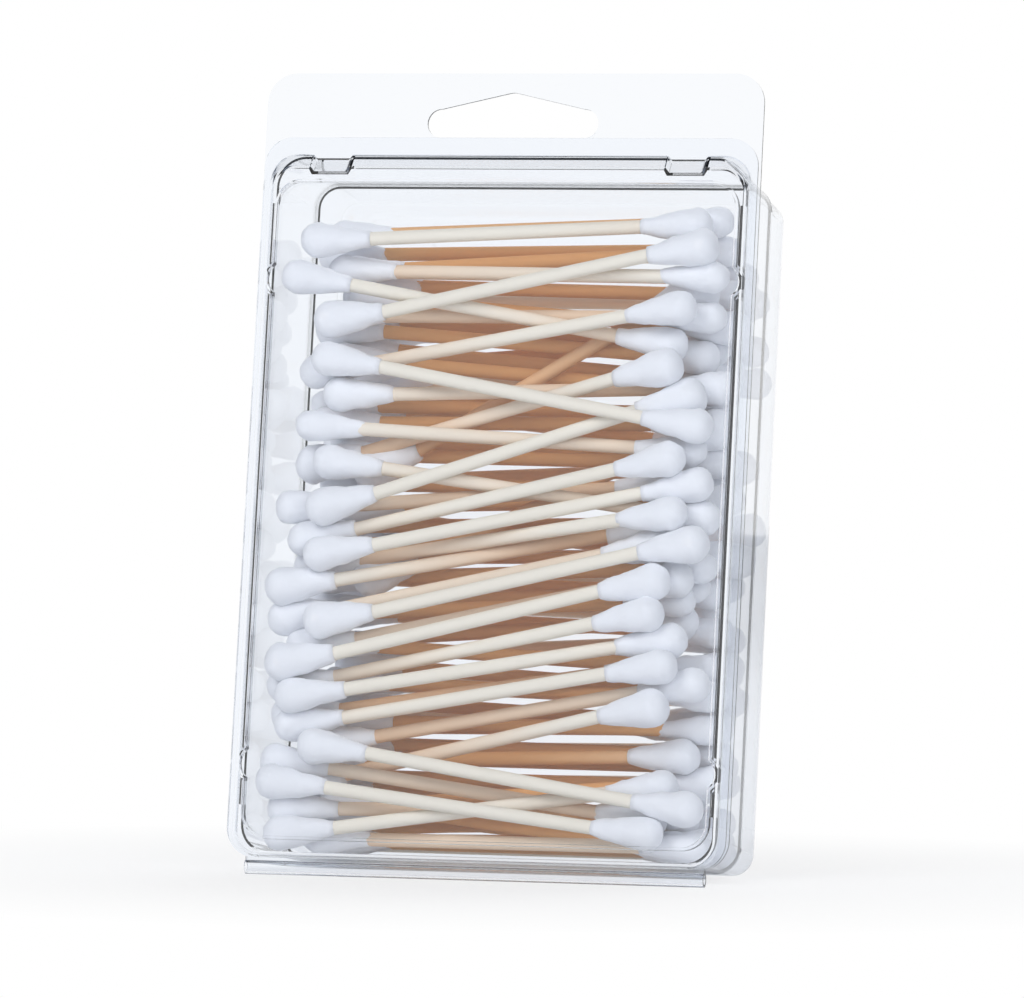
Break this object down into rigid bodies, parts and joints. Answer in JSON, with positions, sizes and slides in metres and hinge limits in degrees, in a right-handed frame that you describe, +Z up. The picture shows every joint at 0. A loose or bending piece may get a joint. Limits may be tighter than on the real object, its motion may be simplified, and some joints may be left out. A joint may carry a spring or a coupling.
{
  "type": "cotton swab clamshell pack",
  "caption": "Clear folding hang pack filled with paper-stick cotton swabs, standing on its hinge and leaning back.",
  "frame": {"origin": "on the ground, under the middle of the pack", "axes": "+Z up, the cover faces -Y, +X to the right of someone who faces the cover"},
  "size_m": [0.091, 0.0576, 0.1417],
  "materials": {
    "clear": "clear",
    "stick": "matte",
    "cotton": "soft"
  },
  "bodies": {
    "tray": {"tray": "clear", "sticks_01": "stick", "sticks_02": "stick", "sticks_03": "stick", "sticks_04": "stick", "sticks_05": "stick", "sticks_06": "stick", "sticks_07": "stick", "sticks_08": "stick", "sticks_09": "stick", "sticks_10": "stick", "sticks_11": "stick", "sticks_12": "stick", "sticks_13": "stick", "sticks_14": "stick", "sticks_15": "stick", "sticks_16": "stick", "sticks_17": "stick", "sticks_18": "stick", "sticks_19": "stick", "sticks_20": "stick", "sticks_21": "stick", "sticks_22": "stick", "sticks_23": "stick", "sticks_24": "stick", "sticks_25": "stick", "sticks_26": "stick", "sticks_27": "stick", "sticks_28": "stick", "buds_01": "cotton", "buds_02": "cotton", "buds_03": "cotton", "buds_04": "cotton", "buds_05": "cotton", "buds_06": "cotton", "buds_07": "cotton", "buds_08": "cotton", "buds_09": "cotton", "buds_10": "cotton", "buds_11": "cotton", "buds_12": "cotton", "buds_13": "cotton", "buds_14": "cotton", "buds_15": "cotton", "buds_16": "cotton", "buds_17": "cotton", "buds_18": "cotton", "buds_19": "cotton", "buds_20": "cotton", "buds_21": "cotton", "buds_22": "cotton", "buds_23": "cotton", "buds_24": "cotton", "buds_25": "cotton", "buds_26": "cotton", "buds_27": "cotton", "buds_28": "cotton"},
    "cover": {"cover": "clear"}
  },
  "joints": [
    {"name": "cover_hinge", "type": "hinge", "parent": "tray", "child": "cover", "pos_m": [0, -0.02661, 0], "axis": [1, 0, 0], "range_deg": [0, 180]}
  ]
}
